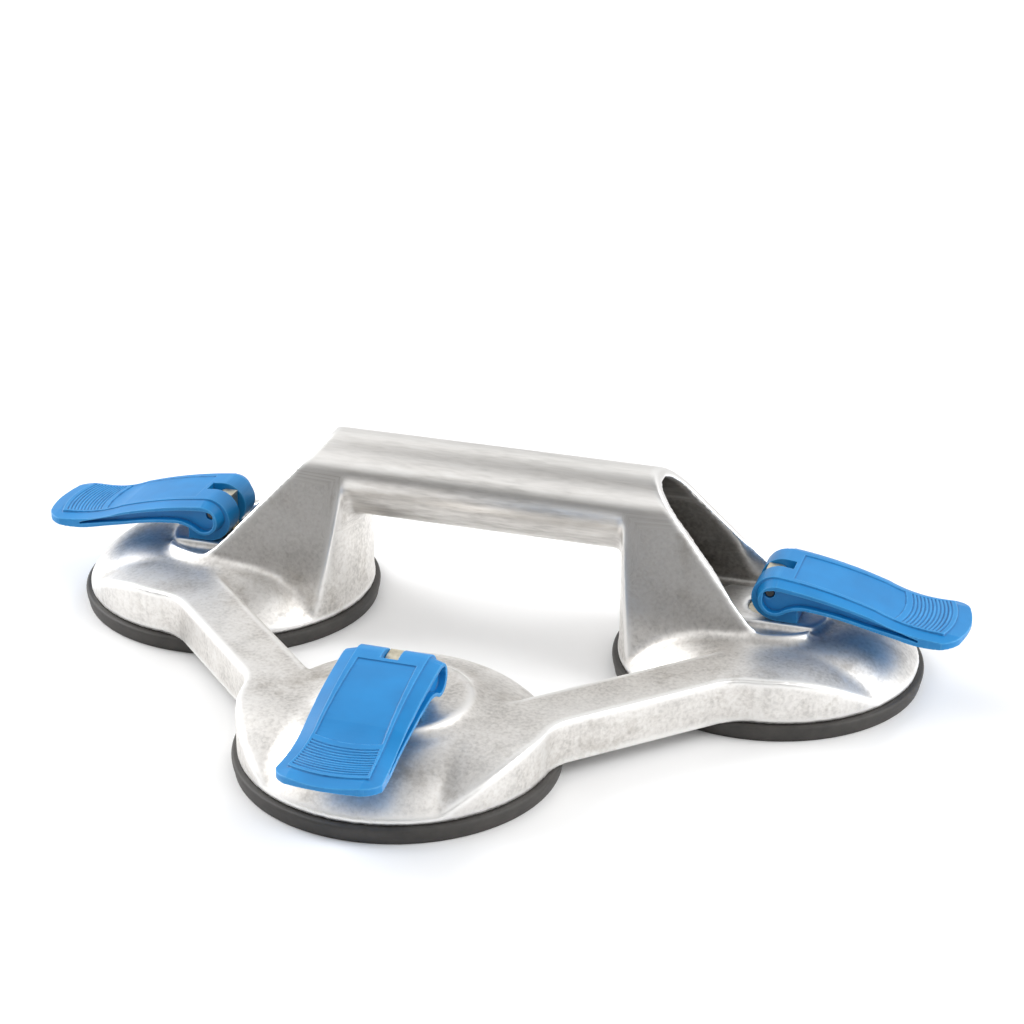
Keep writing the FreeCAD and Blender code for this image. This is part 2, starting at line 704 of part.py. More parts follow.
def cam_profile():
    """Side view of the cam block, as a wire.

    Its rolling edge holds the plateau at the cam's reach less an even rate times the
    angle, so the drawbar drops evenly while the lever opens. The crown is one arc that
    leaves the rolling edge square to the plateau's last line and ends at the heel.
    """
    reach, rate = value_of(CAM_REACH), value_of(CAM_RATE)
    travel = math.radians(value_of("open_angle"))
    steps = 12
    edge = []
    for step in range(steps + 1):
        angle = travel * step / steps
        height = reach - rate * angle
        edge.append(V(rate * math.cos(angle) - height * math.sin(angle), 0,
                      -height * math.cos(angle) - rate * math.sin(angle)))
    rolling = Part.BSplineCurve()
    rolling.interpolate(edge)
    back = edge[-1]
    heel = V(value_of("palm_heel_x"), 0, value_of("palm_heel_z"))
    radius = (heel - back).Length ** 2 / (2 * (heel.x - back.x))
    centre = V(back.x + radius, 0, back.z)
    middle = centre + ((back + heel) * 0.5 - centre).normalize() * radius
    toe_foot = V(value_of("cam_toe"), 0, -reach)
    toe_top = V(value_of("cam_toe"), 0, value_of(CAM_TOE_TOP))
    return Part.Wire([
        rolling.toShape(),
        Part.Arc(back, middle, heel).toShape(),
        Part.makeLine(heel, toe_top),
        Part.makeLine(toe_top, toe_foot),
        Part.makeLine(toe_foot, edge[0]),
    ])


def cam_block(tag):
    """The cam block across the lever's pivot end."""
    half = value_of("block_half")
    profile = cam_profile()
    profile.translate(V(0, -half, 0))
    solid = document.addObject("Part::Feature", f"{tag}_cam")
    solid.Shape = Part.Face(profile).extrude(V(0, 2 * half, 0))
    return solid


def neck_start(radius):
    """Where the ear's circle of that radius gives way to the neck's hollow curve."""
    return (f"ear_x + {radius} * sin(neck_turn * 1 deg)", f"ear_z - {radius} * cos(neck_turn * 1 deg)")


def flange_outline(drop, tip_drop, radius):
    """Side view of the lever's flange: lowered palm line, ear and lower edge."""
    return palm_top(drop, tip_drop) + [
        ("ear_x", f"ear_z + {radius}", radius),
        (f"ear_x - {radius}", "ear_z", radius),
        ("ear_x", "ear_z - ear_radius", "ear_radius"),
        (*neck_start("ear_radius"), "-neck_arc"),
        ("neck_x", "neck_z", "-skirt_arc"),
        ("skirt_mid_x", "skirt_mid_z"),
        ("skirt_low_x", "skirt_low_z", "skirt_toe_arc"),
        ("skirt_toe_x", "skirt_toe_z"),
        ("lever_reach - tip_under_x", "palm_tip_z - tip_under_z"),
        ("lever_reach", "palm_tip_z - tip_edge"),
    ]


def plan_outline(rear_half, waist, corner, bow, front_arc, tip=()):
    """Plan of the palm plate or the flanges: two bowed sides and a rounded front.

    The waist and the front corner are (distance from the pin, half width).
    """
    return [
        ("-lever_back", f"-{rear_half}"),
        (waist[0], f"-{waist[1]}", f"-{bow}"),
        (corner[0], f"-{corner[1]}", front_arc),
        *tip,
        (corner[0], corner[1], f"-{bow}"),
        waist,
        ("-lever_back", rear_half),
    ]


def flange_plan():
    tip_x = "lever_reach - tip_inset"
    tip_half = "(flange_half_tip - tip_corner_width)"
    return plan_outline("flange_half_rear", ("flange_waist_x", "flange_half_waist"),
                        ("lever_reach - tip_shoulder", "flange_half_tip"), "flange_side_bow", "tip_corner",
                        [(tip_x, f"-{tip_half}", "tip_bow"), (tip_x, tip_half, "tip_corner")])


def plate_plan():
    return plan_outline("block_half", ("plate_waist_x", "plate_half_waist"),
                        ("plate_corner_x", "plate_half_tip"), "plate_side_bow", "plate_bow")


def flanges(tag):
    """The lever's main body: a core, and each side's band sloping out to its edge."""
    root = flange_outline("band_step", "band_step", "ear_root_radius")
    edge = flange_outline("band_fall", "(band_fall * tip_fall)", "ear_radius")
    pieces = [extruded(f"{tag}_core", plane_sketch(f"{tag}_core_outline", "XZ", root), (0, 1, 0),
                       BAND_ROOT, BAND_ROOT)]
    for name, sign in (("near", -1), ("far", 1)):
        sections = []
        for level, outline, half in (("root", root, BAND_ROOT), ("edge", edge, "flange_half")):
            section = plane_sketch(f"{tag}_{name}_{level}", "XZ", outline)
            place(section, ("0", f"{sign} * {half}", "0"))
            sections.append(section)
        band = document.addObject("Part::Loft", f"{tag}_{name}_band")
        band.Sections = sections
        band.Solid = True
        band.Ruled = True
        pieces.append(band)
    plan = plane_sketch(f"{tag}_plan", "XY", flange_plan())
    prism = extruded(f"{tag}_prism", plan, (0, 0, 1), FAR, FAR)
    return shared(f"{tag}_flanges", joined(f"{tag}_bands", *pieces), prism)


def palm_plate(tag):
    """The raised palm plate over the core."""
    line = palm_top()
    under = [(point[0], f"{point[1]} - lever_plate") for point in reversed(line)]
    profile = plane_sketch(f"{tag}_plate_side", "XZ", line + under)
    slab = extruded(f"{tag}_slab", profile, (0, 1, 0), "flange_half", "flange_half")
    plan = plane_sketch(f"{tag}_plate_plan", "XY", plate_plan())
    return shared(f"{tag}_plate", slab, extruded(f"{tag}_plate_prism", plan, (0, 0, 1), FAR, FAR))


def recess_outline():
    """The hollow in a flange's outer side, round the ear and along to the tip."""
    bore = "(ear_radius - ear_rim)"
    return [
        ("recess_end_x", "recess_end_z + recess_end_half"),
        ("palm_mid_x", "palm_mid_z - band_fall - recess_rim", "palm_arc"),
        ("ear_x", f"ear_z + {bore}", bore),
        (f"ear_x - {bore}", "ear_z", bore),
        ("ear_x", f"ear_z - {bore}", bore),
        (*neck_start(bore), "-(neck_arc + ear_rim)"),
        ("neck_x", "neck_z + ear_rim", "-(skirt_arc + ear_rim)"),
        ("skirt_mid_x", "skirt_mid_z + ear_rim"),
        ("recess_end_x", "recess_end_z - recess_end_half"),
    ]


def hollow_outline():
    """The hollow under the palm plate, open below."""
    return [
        ("lever_reach - tip_wall", "palm_brow_z - lever_plate"),
        ("palm_toe_x", "palm_toe_z - lever_plate", "-(palm_toe_arc + lever_plate)"),
        ("palm_mid_x", "palm_mid_z - lever_plate", "palm_arc - lever_plate"),
        ("cam_toe + cam_toe_web", f"{CAM_TOE_TOP} - lever_plate"),
        ("cam_toe + cam_toe_web", f"-{FAR}"),
        ("lever_reach - tip_wall", f"-{FAR}"),
    ]


def above_palm(tag, depth):
    """Everything higher than that depth below the palm plate's top."""
    outline = palm_top(depth) + [("palm_heel_x", FAR), ("lever_reach", FAR)]
    level = plane_sketch(f"{tag}_level", "XZ", outline)
    return extruded(tag, level, (0, 1, 0), "flange_half", "flange_half")


def panel_tool(tag):
    """The shallow panel let into the palm plate."""
    panel = plane_sketch(f"{tag}_panel_outline", "XY", [
        ("panel_start", "-panel_half"),
        ("panel_end - panel_bow_inset", "-panel_half_end", "panel_bow"),
        ("panel_end - panel_bow_inset", "panel_half_end"),
        ("panel_start", "panel_half"),
    ])
    prism = extruded(f"{tag}_panel_prism", panel, (0, 0, 1), FAR, FAR)
    return shared(f"{tag}_panel_recess", prism, above_palm(f"{tag}_panel_cover", "panel_depth"))


def groove_tool(tag):
    """Bowed grooves across the palm plate's front, under the fingers."""
    grooves = []
    for number in range(GRIP_GROOVES):
        rear = f"(panel_end + groove_gap + {number} * groove_pitch)"
        half = f"(groove_half + {number} * groove_growth)"
        outline = plane_sketch(f"{tag}_groove_{number}_outline", "XY", [
            (f"{rear} + groove_width", f"-{half}", "panel_bow"),
            (f"{rear} + groove_width", half),
            (rear, half, "-panel_bow"),
            (rear, f"-{half}"),
        ])
        grooves.append(extruded(f"{tag}_groove_{number}", outline, (0, 0, 1), FAR, FAR))
    return shared(f"{tag}_grooves", joined(f"{tag}_groove_prisms", *grooves),
                  above_palm(f"{tag}_groove_cover", "groove_depth"))


def make_lever(side):
    """One moulded lever: palm plate with flanges and ears, on a slotted cam block."""
    tag = f"{side}_lever"
    tools = [panel_tool(tag), groove_tool(tag)]
    for name, sign in (("near", -1), ("far", 1)):
        recess = plane_sketch(f"{tag}_{name}_recess", "XZ", recess_outline())
        place(recess, ("0", f"{sign} * web_half", "0"))
        tools.append(extruded(f"{tag}_{name}_recess_tool", recess, (0, sign, 0), "flange_half"))
    under = plane_sketch(f"{tag}_under_outline", "XZ", hollow_outline())
    tools.append(extruded(f"{tag}_under_tool", under, (0, 1, 0), "hollow_half", "hollow_half"))
    tools.append(block(f"{tag}_slot", (f"-{FAR}", f"-{SLOT_HALF}", f"-{FAR}"), (SLOT_END, SLOT_HALF, FAR)))
    tools.append(cylinder(f"{tag}_pin_hole", "pin_radius + pin_gap", "2 * flange_half",
                          ("0", "-flange_half", "0"), along="Y"))
    mass = joined(f"{tag}_mass", flanges(tag), palm_plate(tag), cam_block(tag))
    lever = less(tag, mass, joined(f"{tag}_tools", *tools))
    set_at_cup(lever, side, "pin_x", PIN_HEIGHT)
    parts[tag] = lever


make_cast_body()
for side in CUPS:
    make_pad(side)
    make_plate(side)
    make_drawbar(side)
    make_pin(side)
    make_lever(side)
document.recompute()


# ---------------------------------------------------------------- checks and export
def check_document():
    for thing in document.Objects:
        if "Invalid" in thing.State or "Error" in thing.State:
            raise RuntimeError(f"{thing.Label} did not build: {thing.State}")
    for node, thing in parts.items():
        shape = thing.Shape
        if shape.isNull() or not shape.isValid() or not shape.Solids:
            raise RuntimeError(f"{node} is not a valid solid")
        print(f"{node}: {len(shape.Solids)} solid, {shape.Volume / 1000:.1f} cm3")


check_document()
os.makedirs("parts", exist_ok=True)
for node, thing in parts.items():
    thing.Label = node
    thing.Shape.exportStep(f"parts/{node}.step")
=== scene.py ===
"""Looks of a three-cup suction lifter for floor tiles, built round its packed construction model.

The construction model gives every place and size. This script adds the finishes, the softened
edges of the die casting and of the moulded levers, and the rubber pads. Lengths are metres. +X
runs along the handle, the single front cup is towards -Y, +Z is up, and the pads stand on z = 0.
"""
from __future__ import annotations

import json
import logging
import math
from dataclasses import dataclass, field
from enum import Enum
from typing import Any, ClassVar

import bmesh
import bpy
import numpy as np
from mathutils import Euler, Matrix, Vector
from mathutils.bvhtree import BVHTree

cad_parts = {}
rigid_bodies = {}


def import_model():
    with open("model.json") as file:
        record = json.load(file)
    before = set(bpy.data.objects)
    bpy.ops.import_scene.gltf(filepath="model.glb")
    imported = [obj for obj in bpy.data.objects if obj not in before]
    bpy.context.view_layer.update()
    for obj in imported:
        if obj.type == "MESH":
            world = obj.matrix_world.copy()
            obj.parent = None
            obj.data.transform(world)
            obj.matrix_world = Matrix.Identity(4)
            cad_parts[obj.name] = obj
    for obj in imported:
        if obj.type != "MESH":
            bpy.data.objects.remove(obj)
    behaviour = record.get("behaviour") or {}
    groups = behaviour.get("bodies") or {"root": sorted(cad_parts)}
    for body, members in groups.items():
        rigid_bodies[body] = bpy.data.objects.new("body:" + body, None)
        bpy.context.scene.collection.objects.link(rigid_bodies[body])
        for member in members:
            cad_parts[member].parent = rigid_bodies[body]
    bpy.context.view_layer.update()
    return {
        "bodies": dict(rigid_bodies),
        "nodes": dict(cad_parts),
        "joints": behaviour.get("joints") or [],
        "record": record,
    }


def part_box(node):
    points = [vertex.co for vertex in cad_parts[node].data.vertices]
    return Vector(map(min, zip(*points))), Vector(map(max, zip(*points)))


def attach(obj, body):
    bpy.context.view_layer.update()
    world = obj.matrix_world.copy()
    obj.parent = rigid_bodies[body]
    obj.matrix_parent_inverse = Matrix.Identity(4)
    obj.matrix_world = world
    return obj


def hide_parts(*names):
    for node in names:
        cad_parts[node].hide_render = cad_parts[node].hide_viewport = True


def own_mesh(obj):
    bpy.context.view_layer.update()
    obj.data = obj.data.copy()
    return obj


LOG = logging.getLogger("suction_lifter")
MM = 0.001
SAME_POINT = 0.002 * MM  # corners of loose triangles nearer than this are one
SAME_RING_POINT = 0.01 * MM  # and so are points where a full turn closes


class Cup(Enum):
    """The three cups, by the side of the handle that each stands on, with its lever's heading."""

    LEFT = ("left", math.pi)
    RIGHT = ("right", 0.0)
    FRONT = ("front", -math.pi / 2)

    @property
    def side(self) -> str:
        """The word that starts the names of the cup's nodes, bodies and joints."""
        return self.value[0]

    @property
    def heading(self) -> float:
        """Angle about Z from +X to the way the lever points, in radians."""
        return self.value[1]

    @property
    def centre(self) -> Vector:
        """The pad's centre on the floor."""
        low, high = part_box(f"{self.side}_suction_pad")
        return Vector(((low.x + high.x) / 2, (low.y + high.y) / 2, 0.0))

    @property
    def from_right(self) -> Matrix:
        """The move that takes a piece of the right cup to this cup."""
        turn = Matrix.Rotation(self.heading, 4, "Z")
        return Matrix.Translation(self.centre) @ turn @ Matrix.Translation(-Cup.RIGHT.centre)


# ------------------------------------------------------------------------------ nodes and colours
def linear(hex_colour: str) -> tuple[float, float, float, float]:
    """Turn an sRGB hex colour such as "#8a8a86" into linear RGBA.

    Args:
        hex_colour: six hex digits after a hash sign.

    Returns:
        Linear red, green, blue, and an alpha of 1.
    """
    channels = [int(hex_colour[start:start + 2], 16) / 255 for start in (1, 3, 5)]
    bright = [c / 12.92 if c <= 0.04045 else ((c + 0.055) / 1.055) ** 2.4 for c in channels]
    return (bright[0], bright[1], bright[2], 1.0)


def add_node(tree: bpy.types.NodeTree, kind: str, settings: dict[str, Any] | None = None,
             inputs: dict[str | int, Any] | None = None,
             stops: list[tuple[float, str]] | None = None) -> bpy.types.Node:
    """Add a shader node, set its options, fill or link its inputs, and colour its ramp.

    Args:
        tree: the node tree that gets the node.
        kind: the node's type name.
        settings: option names and values.
        inputs: input names or numbers, each with a value or another node's output socket.
        stops: a colour ramp's places from 0 to 1, each with an sRGB hex colour.

    Returns:
        The new node.
    """
    node = tree.nodes.new(kind)
    for name, value in (settings or {}).items():
        setattr(node, name, value)
    for name, value in (inputs or {}).items():
        if isinstance(value, bpy.types.NodeSocket):
            tree.links.new(value, node.inputs[name])
        else:
            node.inputs[name].default_value = value
    if stops:
        elements = node.color_ramp.elements
        while len(elements) < len(stops):
            elements.new(0.5)
        for element, (place, colour) in zip(elements, stops):
            element.position = place
            element.color = linear(colour)
    return node


# ------------------------------------------------------------------------------ finishes
@dataclass(frozen=True)
class Finish:
    """A surface finish. Each kind of finish lays its own nodes in `dress`."""

    name: str

    def material(self) -> bpy.types.Material:
        """Make the material once, and return it each time it is asked for.

        Returns:
            The finish's material.
        """
        found = bpy.data.materials.get(self.name)
        if found:
            return found
        made = bpy.data.materials.new(self.name)
        made.use_nodes = True
        self.dress(made.node_tree, made.node_tree.nodes["Principled BSDF"])
        return made

    def dress(self, tree: bpy.types.NodeTree, shader: bpy.types.Node) -> None:
        """Lay the finish's nodes."""
        raise NotImplementedError


@dataclass(frozen=True)
class TumbledCasting(Finish):
    """Die-cast aluminium, barrel-tumbled where the stones reach and left as cast where they don't.

    Tumbling gives a pale satin skin with soft clouds and a fine mottle. The edges are painted
    brighter, partly as rubbed wear and partly as a painted highlight. Hands polish the grip, whose
    marks run lengthwise. The insides of the legs and other hollows are painted a dull darker grey,
    partly as the die's own skin and partly as painted shade.
    """

    name: str = "tumbled_die_cast_aluminium"
    reach_attribute: str = "open_to_tumbling_and_light"
    # paler edges: rubbed wear and a painted highlight
    worn_edge: str = "#f6f5f3"
    stain: str = "#d8d5d1"
    cloud_mm: float = 13.0
    mottle_mm: float = 1.5
    stain_mm: float = 24.0
    grain_mm: float = 0.5  # finer on a real skin, drawn coarser so that it shows
    roughness_low: float = 0.31
    roughness_high: float = 0.39
    as_cast_roughness: float = 0.55
    unhandled_roughness: float = 0.1  # added below the height that hands rub
    unhandled_top: float = 30 * MM
    unhandled_blend: float = 8 * MM
    grip_middle: float = 60 * MM
    grip_half_span: float = 60 * MM
    grip_drop: float = 20 * MM  # how far below its middle the grip's marks reach
    grip_blend: float = 5 * MM
    grip_end_blend: float = 4 * MM
    grip_stretch: float = 0.16

    def dress(self, tree: bpy.types.NodeTree, shader: bpy.types.Node) -> None:
        """Lay the skin's colour, its roughness and its dents.

        Args:
            tree: the material's node tree.
            shader: its main shader.
        """
        place = self.drawn_out(tree)
        clouds = add_node(tree, "ShaderNodeTexNoise", inputs={
            "Vector": place, "Scale": 1 / (self.cloud_mm * MM), "Detail": 3.0, "Roughness": 0.55})
        mottle = add_node(tree, "ShaderNodeTexNoise", inputs={
            "Vector": place, "Scale": 1 / (self.mottle_mm * MM), "Detail": 2.5, "Roughness": 0.5,
            "Distortion": 0.3})
        both = add_node(tree, "ShaderNodeMix", {"data_type": "FLOAT"}, {
            "Factor": 0.5, 2: clouds.outputs["Fac"], 3: mottle.outputs["Fac"]}).outputs[0]
        # How open each point is: the hollows get the dull as-cast grey, which is also painted shade.
        open_share = add_node(tree, "ShaderNodeAttribute", {"attribute_name": self.reach_attribute})
        reached_and_lit = add_node(tree, "ShaderNodeMapRange", inputs={
            "Value": open_share.outputs["Fac"], "From Min": 0.25, "From Max": 0.6}).outputs["Result"]
        shader.inputs["Metallic"].default_value = 1.0
        self.lay_colour(tree, shader, both, reached_and_lit)
        self.lay_roughness(tree, shader, both, reached_and_lit)
        self.lay_dents(tree, shader, place, both)

    def drawn_out(self, tree: bpy.types.NodeTree) -> bpy.types.NodeSocket:
        """Object coordinates, stretched along the grip so that its marks run lengthwise.

        The grip is everything above its middle, and below that the tube between the legs.

        Args:
            tree: the material's node tree.

        Returns:
            The stretched coordinates.
        """
        place = add_node(tree, "ShaderNodeTexCoord").outputs["Object"]
        parts = add_node(tree, "ShaderNodeSeparateXYZ", inputs={"Vector": place}).outputs
        across = add_node(tree, "ShaderNodeMath", {"operation": "ABSOLUTE"}, {0: parts["X"]})
        low, ends = self.grip_middle - self.grip_drop, self.grip_half_span
        upper = add_node(tree, "ShaderNodeMapRange", inputs={
            "Value": parts["Z"], "From Min": self.grip_middle,
            "From Max": self.grip_middle + self.grip_blend})
        above_legs = add_node(tree, "ShaderNodeMapRange", inputs={
            "Value": parts["Z"], "From Min": low, "From Max": low + self.grip_blend})
        between = add_node(tree, "ShaderNodeMapRange", inputs={
            "Value": across.outputs["Value"], "From Min": ends + self.grip_end_blend,
            "From Max": ends - self.grip_end_blend})
        span = add_node(tree, "ShaderNodeMath", {"operation": "MULTIPLY"}, {
            0: above_legs.outputs["Result"], 1: between.outputs["Result"]})
        grip = add_node(tree, "ShaderNodeMath", {"operation": "MAXIMUM"}, {
            0: upper.outputs["Result"], 1: span.outputs["Value"]})
        stretch = add_node(tree, "ShaderNodeMix", {"data_type": "FLOAT"}, {
            "Factor": grip.outputs["Value"], 2: 1.0, 3: self.grip_stretch})
        along = add_node(tree, "ShaderNodeMath", {"operation": "MULTIPLY"}, {
            0: parts["X"], 1: stretch.outputs[0]})
        return add_node(tree, "ShaderNodeCombineXYZ", inputs={
            "X": along.outputs["Value"], "Y": parts["Y"], "Z": parts["Z"]}).outputs["Vector"]

    def lay_colour(self, tree: bpy.types.NodeTree, shader: bpy.types.Node,
                   both: bpy.types.NodeSocket, reached_and_lit: bpy.types.NodeSocket) -> None:
        """Pale tumbled skin, paler on edges for wear and a painted highlight, and a darker grey in
        hollows for the as-cast skin and for painted shade.

        Args:
            tree: the material's node tree.
            shader: its main shader.
            both: the clouds and the mottle, from 0 to 1.
            reached_and_lit: 1 where the stones reach and the point lies open, 0 in hollows, which
                get painted shade.
        """
        tumbled = add_node(tree, "ShaderNodeValToRGB", inputs={"Fac": both}, stops=[
            (0.36, "#c3c0bc"), (0.46, "#d6d3cf"), (0.54, "#e1deda"), (0.64, "#e9e7e4")])
        # Darker grey for the hollows: the die's own skin, and painted shade where light is shut out.
        as_cast_and_shade = add_node(tree, "ShaderNodeValToRGB", inputs={"Fac": both}, stops=[
            (0.38, "#7c7975"), (0.62, "#a5a29e")])
        skin = add_node(tree, "ShaderNodeMix", {"data_type": "RGBA"}, {
            "Factor": reached_and_lit, 6: as_cast_and_shade.outputs["Color"], 7: tumbled.outputs["Color"]})
        # Edges painted paler: partly rubbed wear, partly a painted highlight.
        form = add_node(tree, "ShaderNodeAttribute", {
            "attribute_name": EdgeSoftening.edge_attribute})
        worn_and_highlight = add_node(tree, "ShaderNodeMapRange", inputs={"Value": form.outputs["Fac"]})
        colour = add_node(tree, "ShaderNodeMix", {"data_type": "RGBA"}, {
            "Factor": worn_and_highlight.outputs["Result"], 6: skin.outputs[2], 7: linear(self.worn_edge)})
        stains = add_node(tree, "ShaderNodeTexNoise", inputs={
            "Vector": self.drawn_out(tree), "Scale": 1 / (self.stain_mm * MM), "Detail": 7.0,
            "Roughness": 0.7, "Distortion": 0.4})
        stained = add_node(tree, "ShaderNodeMapRange", inputs={
            "Value": stains.outputs["Fac"], "From Min": 0.54, "From Max": 0.7})
        result = add_node(tree, "ShaderNodeMix", {"data_type": "RGBA", "blend_type": "MULTIPLY"}, {
            "Factor": stained.outputs["Result"], 6: colour.outputs[2], 7: linear(self.stain)})
        tree.links.new(result.outputs[2], shader.inputs["Base Color"])

    def lay_roughness(self, tree: bpy.types.NodeTree, shader: bpy.types.Node,
                      both: bpy.types.NodeSocket, reached_and_lit: bpy.types.NodeSocket) -> None:
        """Glossier where the skin is pale and where hands rub it, and rough out of reach.

        Args:
            tree: the material's node tree.
            shader: its main shader.
            both: the clouds and the mottle, from 0 to 1.
            reached_and_lit: 1 where the stones reach and the point lies open, 0 in hollows.
        """
        tumbled = add_node(tree, "ShaderNodeMapRange", inputs={
            "Value": both, "From Min": 0.3, "From Max": 0.7,
            "To Min": self.roughness_high, "To Max": self.roughness_low})
        place = add_node(tree, "ShaderNodeTexCoord").outputs["Object"]
        parts = add_node(tree, "ShaderNodeSeparateXYZ", inputs={"Vector": place}).outputs
        low_down = add_node(tree, "ShaderNodeMapRange", inputs={
            "Value": parts["Z"], "From Min": self.unhandled_top,
            "From Max": self.unhandled_top - self.unhandled_blend})
        unhandled = add_node(tree, "ShaderNodeMath", {"operation": "MULTIPLY_ADD"}, {
            0: low_down.outputs["Result"], 1: self.unhandled_roughness,
            2: tumbled.outputs["Result"]})
        rough = add_node(tree, "ShaderNodeMix", {"data_type": "FLOAT"}, {
            "Factor": reached_and_lit, 2: self.as_cast_roughness, 3: unhandled.outputs["Value"]})
        tree.links.new(rough.outputs[0], shader.inputs["Roughness"])

    def lay_dents(self, tree: bpy.types.NodeTree, shader: bpy.types.Node,
                  place: bpy.types.NodeSocket, both: bpy.types.NodeSocket) -> None:
        """Shallow dents from the stones over a fine grain.

        Args:
            tree: the material's node tree.
            shader: its main shader.
            place: the coordinates that the grain follows.
            both: the clouds and the mottle, from 0 to 1.
        """
        grain = add_node(tree, "ShaderNodeTexNoise", inputs={
            "Vector": place, "Scale": 1 / (self.grain_mm * MM), "Detail": 2.0, "Roughness": 0.6})
        fine = add_node(tree, "ShaderNodeBump", inputs={
            "Strength": 0.15, "Distance": 0.02 * MM, "Height": grain.outputs["Fac"]})
        waves = add_node(tree, "ShaderNodeBump", inputs={
            "Strength": 0.15, "Distance": 0.15 * MM, "Height": both,
            "Normal": fine.outputs["Normal"]})
        tree.links.new(waves.outputs["Normal"], shader.inputs["Normal"])


@dataclass(frozen=True)
class MouldedPlastic(Finish):
    """Glass-filled nylon, injection-moulded in a lightly spark-textured tool: even blue, soft gloss.

    Edges are painted paler as a painted highlight, and inner corners darker as painted shade.
    """

    name: str = "moulded_blue_nylon"
    colour: str = "#0982c6"
    shade: str = "#077abc"
    # the paler colour of edges, a painted highlight
    edge: str = "#5cb4ea"
    # the darker colour of inner corners, painted shade
    corner: str = "#044c86"
    roughness: float = 0.42
    ior: float = 1.49
    flow_mm: float = 14.0
    grain_mm: float = 0.35  # finer on a real moulding, drawn coarser so that it shows

    def dress(self, tree: bpy.types.NodeTree, shader: bpy.types.Node) -> None:
        """A faint flow pattern in the colour, a painted highlight on edges and painted shade in
        inner corners, and a fine tool texture in the bump.

        Args:
            tree: the material's node tree.
            shader: its main shader.
        """
        place = add_node(tree, "ShaderNodeTexCoord").outputs["Object"]
        flow = add_node(tree, "ShaderNodeTexNoise", inputs={
            "Vector": place, "Scale": 1 / (self.flow_mm * MM), "Detail": 2.0})
        even = add_node(tree, "ShaderNodeValToRGB", inputs={"Fac": flow.outputs["Fac"]}, stops=[
            (0.35, self.shade), (0.65, self.colour)])
        form = add_node(tree, "ShaderNodeAttribute", {
            "attribute_name": EdgeSoftening.edge_attribute}).outputs["Fac"]
        # Painted shade: inner corners darkened by how deep each point lies.
        inner = add_node(tree, "ShaderNodeMapRange", inputs={
            "Value": form, "From Min": -0.05, "From Max": -1.4})
        corners = add_node(tree, "ShaderNodeMix", {"data_type": "RGBA"}, {
            "Factor": inner.outputs["Result"], 6: even.outputs["Color"], 7: linear(self.corner)})
        # Painted highlight: outer edges made paler by how far each point stands out.
        outer = add_node(tree, "ShaderNodeMapRange", inputs={
            "Value": form, "From Min": 0.05, "From Max": 2.2})
        edges = add_node(tree, "ShaderNodeMix", {"data_type": "RGBA"}, {
            "Factor": outer.outputs["Result"], 6: corners.outputs[2], 7: linear(self.edge)})
        tree.links.new(edges.outputs[2], shader.inputs["Base Color"])
        shader.inputs["Roughness"].default_value = self.roughness
        shader.inputs["IOR"].default_value = self.ior
        grain = add_node(tree, "ShaderNodeTexNoise", inputs={
            "Vector": place, "Scale": 1 / (self.grain_mm * MM), "Detail": 2.0})
        bump = add_node(tree, "ShaderNodeBump", inputs={
            "Strength": 0.2, "Distance": 0.02 * MM, "Height": grain.outputs["Fac"]})
        tree.links.new(bump.outputs["Normal"], shader.inputs["Normal"])


@dataclass(frozen=True)
class MouldedRubber(Finish):
    """Moulded natural rubber: nearly black, matt, with a faint dusty bloom."""

    name: str = "moulded_black_rubber"
    dark: str = "#2c2a28"
    dusty: str = "#403d3a"
    roughness_low: float = 0.48
    roughness_high: float = 0.66
    ior: float = 1.52
    bloom_mm: float = 7.0
    grain_mm: float = 0.5  # finer on real rubber, drawn coarser so that it shows

    def dress(self, tree: bpy.types.NodeTree, shader: bpy.types.Node) -> None:
        """Cloudy bloom in the colour and roughness, and a fine moulded grain.

        Args:
            tree: the material's node tree.
            shader: its main shader.
        """
        place = add_node(tree, "ShaderNodeTexCoord").outputs["Object"]
        bloom = add_node(tree, "ShaderNodeTexNoise", inputs={
            "Vector": place, "Scale": 1 / (self.bloom_mm * MM), "Detail": 4.0, "Roughness": 0.6})
        colour = add_node(tree, "ShaderNodeValToRGB", inputs={"Fac": bloom.outputs["Fac"]}, stops=[
            (0.3, self.dark), (0.7, self.dusty)])
        tree.links.new(colour.outputs["Color"], shader.inputs["Base Color"])
        rough = add_node(tree, "ShaderNodeMapRange", inputs={
            "Value": bloom.outputs["Fac"], "To Min": self.roughness_low,
            "To Max": self.roughness_high})
        tree.links.new(rough.outputs["Result"], shader.inputs["Roughness"])
        shader.inputs["IOR"].default_value = self.ior
        grain = add_node(tree, "ShaderNodeTexNoise", inputs={
            "Vector": place, "Scale": 1 / (self.grain_mm * MM), "Detail": 2.0})
        bump = add_node(tree, "ShaderNodeBump", inputs={
            "Strength": 0.3, "Distance": 0.03 * MM, "Height": grain.outputs["Fac"]})
        tree.links.new(bump.outputs["Normal"], shader.inputs["Normal"])


